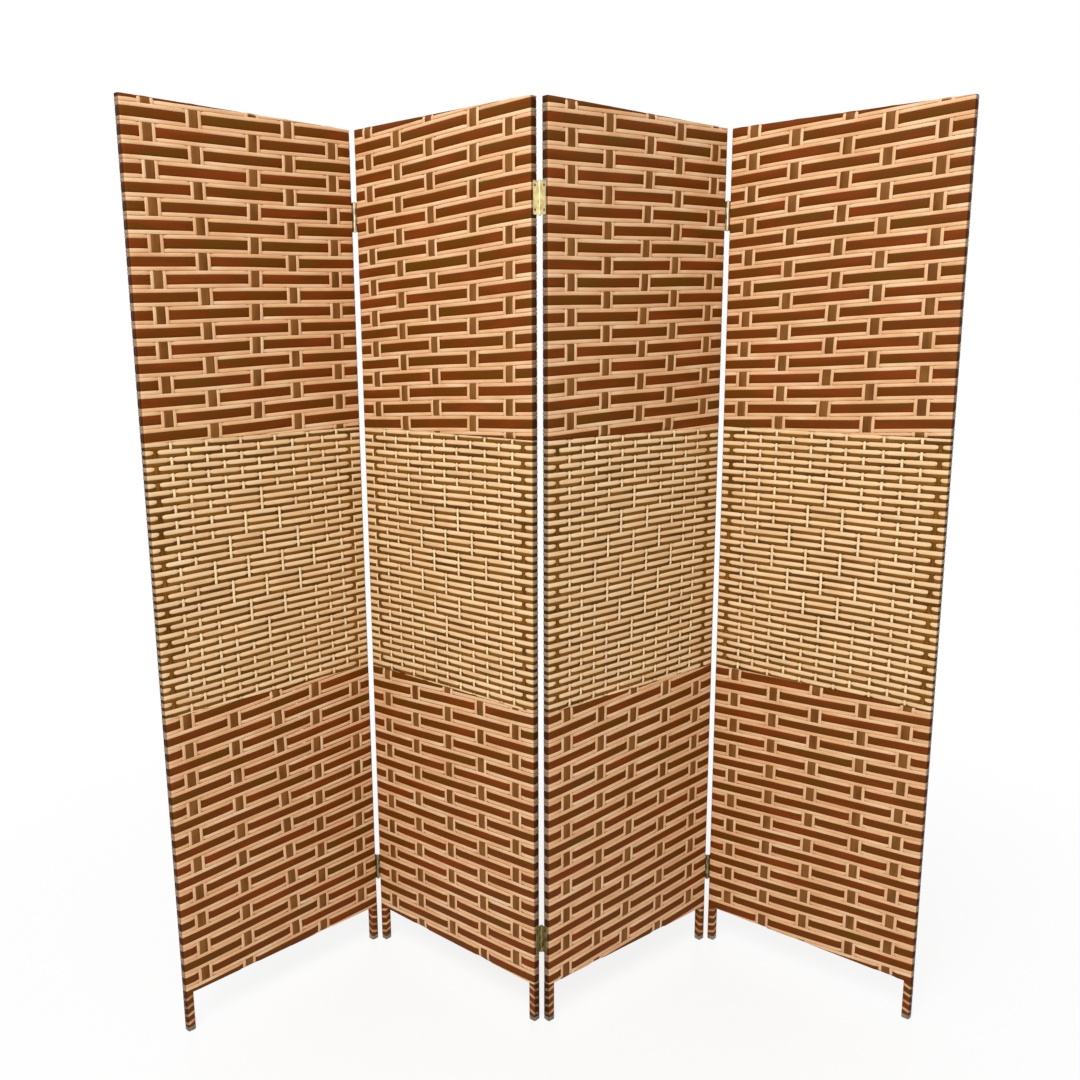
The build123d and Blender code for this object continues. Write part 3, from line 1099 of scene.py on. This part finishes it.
upright_wood = wood_material("post_wood", None)
foot_cap = cap_material()
brass = metal_material("hinge_brass", "#efe4c2", "#cfc195", 0.4)
# The lower hinges get a darker brass than the upper ones.
lower_brass = metal_material("lower_brass", "#a39767", "#776d44", 0.45)
pin_steel = metal_material("pin_steel", "#b9b6a4", "#8e8b78", 0.35)
screw_steel = metal_material("screw_steel", "#8a7c60", "#5a4d38", 0.4)
for number in NUMBERS:
    along = STANDS[number].col[0].xyz
    heading = np.arctan2(along.y, along.x)
    rail_wood = wood_material(f"rail_wood_{number}", heading)
    for side in ("left", "right"):
        dress(f"panel_{number}_{side}_post", upright_wood)
    for rail in ("top_rail", "mid_rails", "bottom_rail"):
        dress(f"panel_{number}_{rail}", rail_wood)
    dress(f"panel_{number}_feet", foot_cap)
    dress(f"panel_{number}_hinge_screws", screw_steel)
for joint in ("12", "23", "34"):
    for place in ("upper", "lower"):
        metal = brass if place == "upper" else lower_brass
        for side in ("left", "right"):
            dress(f"hinge_{joint}_{place}_{side}_leaf", metal)
    dress(f"hinge_{joint}_pins", pin_steel)


# Floor, light and camera

def floor_material():
    """White that keeps soft shadows near the screen, and is plain white further out.

    Only the camera sees the plain white. Light and reflections meet the floor itself.
    """
    material, nodes, links, shader = new_material("floor")
    shader.inputs["Base Color"].default_value = (0.96, 0.96, 0.96, 1)
    shader.inputs["Roughness"].default_value = 0.25
    glow = nodes.new("ShaderNodeEmission")
    glow.inputs["Color"].default_value = (1, 1, 1, 1)
    glow.inputs["Strength"].default_value = 1.0
    place = nodes.new("ShaderNodeTexCoord")
    distance = nodes.new("ShaderNodeVectorMath")
    distance.operation = "LENGTH"
    links.new(place.outputs["Object"], distance.inputs[0])
    fade = nodes.new("ShaderNodeMapRange")
    fade.inputs["From Min"].default_value = FLOOR_NEAR
    fade.inputs["From Max"].default_value = FLOOR_FAR
    fade.inputs["To Min"].default_value = FLOOR_WHITENESS
    links.new(distance.outputs["Value"], fade.inputs["Value"])
    ray = nodes.new("ShaderNodeLightPath")
    share = nodes.new("ShaderNodeMath")
    share.operation = "MULTIPLY"
    links.new(fade.outputs["Result"], share.inputs[0])
    links.new(ray.outputs["Is Camera Ray"], share.inputs[1])
    mix = nodes.new("ShaderNodeMixShader")
    links.new(share.outputs["Value"], mix.inputs["Fac"])
    links.new(shader.outputs["BSDF"], mix.inputs[1])
    links.new(glow.outputs["Emission"], mix.inputs[2])
    output = next(node for node in nodes if node.type == "OUTPUT_MATERIAL")
    links.new(mix.outputs["Shader"], output.inputs["Surface"])
    return material


def plain_floor():
    """A square white floor."""
    corners = [(x * FLOOR_REACH, y * FLOOR_REACH, 0) for x, y in ((-1, -1), (1, -1), (1, 1), (-1, 1))]
    mesh = bpy.data.meshes.new("floor")
    mesh.from_pydata(corners, [], [(0, 1, 2, 3)])
    mesh.materials.append(floor_material())
    floor = bpy.data.objects.new("floor", mesh)
    bpy.context.collection.objects.link(floor)


def area_light(name, place, target, size, power):
    """A square soft light that looks at a target."""
    lamp = bpy.data.lights.new(name, "AREA")
    lamp.shape = "SQUARE"
    lamp.size = size
    lamp.energy = power
    light = bpy.data.objects.new(name, lamp)
    light.location = place
    aim = Vector(target) - Vector(place)
    light.rotation_euler = aim.to_track_quat("-Z", "Y").to_euler()
    bpy.context.collection.objects.link(light)


def soft_world(strength):
    """An even light from all round, plain white where the camera or a reflection sees it."""
    world = bpy.data.worlds.new("world")
    bpy.context.scene.world = world
    world.use_nodes = True
    nodes = world.node_tree.nodes
    links = world.node_tree.links
    nodes.clear()
    output = nodes.new("ShaderNodeOutputWorld")
    ambient = nodes.new("ShaderNodeBackground")
    ambient.inputs["Color"].default_value = (1, 1, 1, 1)
    ambient.inputs["Strength"].default_value = strength
    seen = nodes.new("ShaderNodeBackground")
    seen.inputs["Color"].default_value = (1, 1, 1, 1)
    seen.inputs["Strength"].default_value = 1.0
    path = nodes.new("ShaderNodeLightPath")
    mix = nodes.new("ShaderNodeMixShader")
    either = nodes.new("ShaderNodeMath")
    either.operation = "MAXIMUM"
    links.new(path.outputs["Is Camera Ray"], either.inputs[0])
    links.new(path.outputs["Is Glossy Ray"], either.inputs[1])
    links.new(either.outputs["Value"], mix.inputs["Fac"])
    links.new(ambient.outputs["Background"], mix.inputs[1])
    links.new(seen.outputs["Background"], mix.inputs[2])
    links.new(mix.outputs["Shader"], output.inputs["Surface"])


plain_floor()
soft_world(WORLD_STRENGTH)
area_light("key", KEY_PLACE, KEY_TARGET, KEY_SIZE, KEY_POWER)

camera_data = bpy.data.cameras.new("camera")
camera_data.lens = LENS
camera = bpy.data.objects.new("camera", camera_data)
camera.location = CAMERA_PLACE
camera.rotation_euler = [radians(angle) for angle in CAMERA_TURN]
bpy.context.collection.objects.link(camera)
bpy.context.scene.camera = camera
bpy.context.scene.view_settings.view_transform = "Standard"
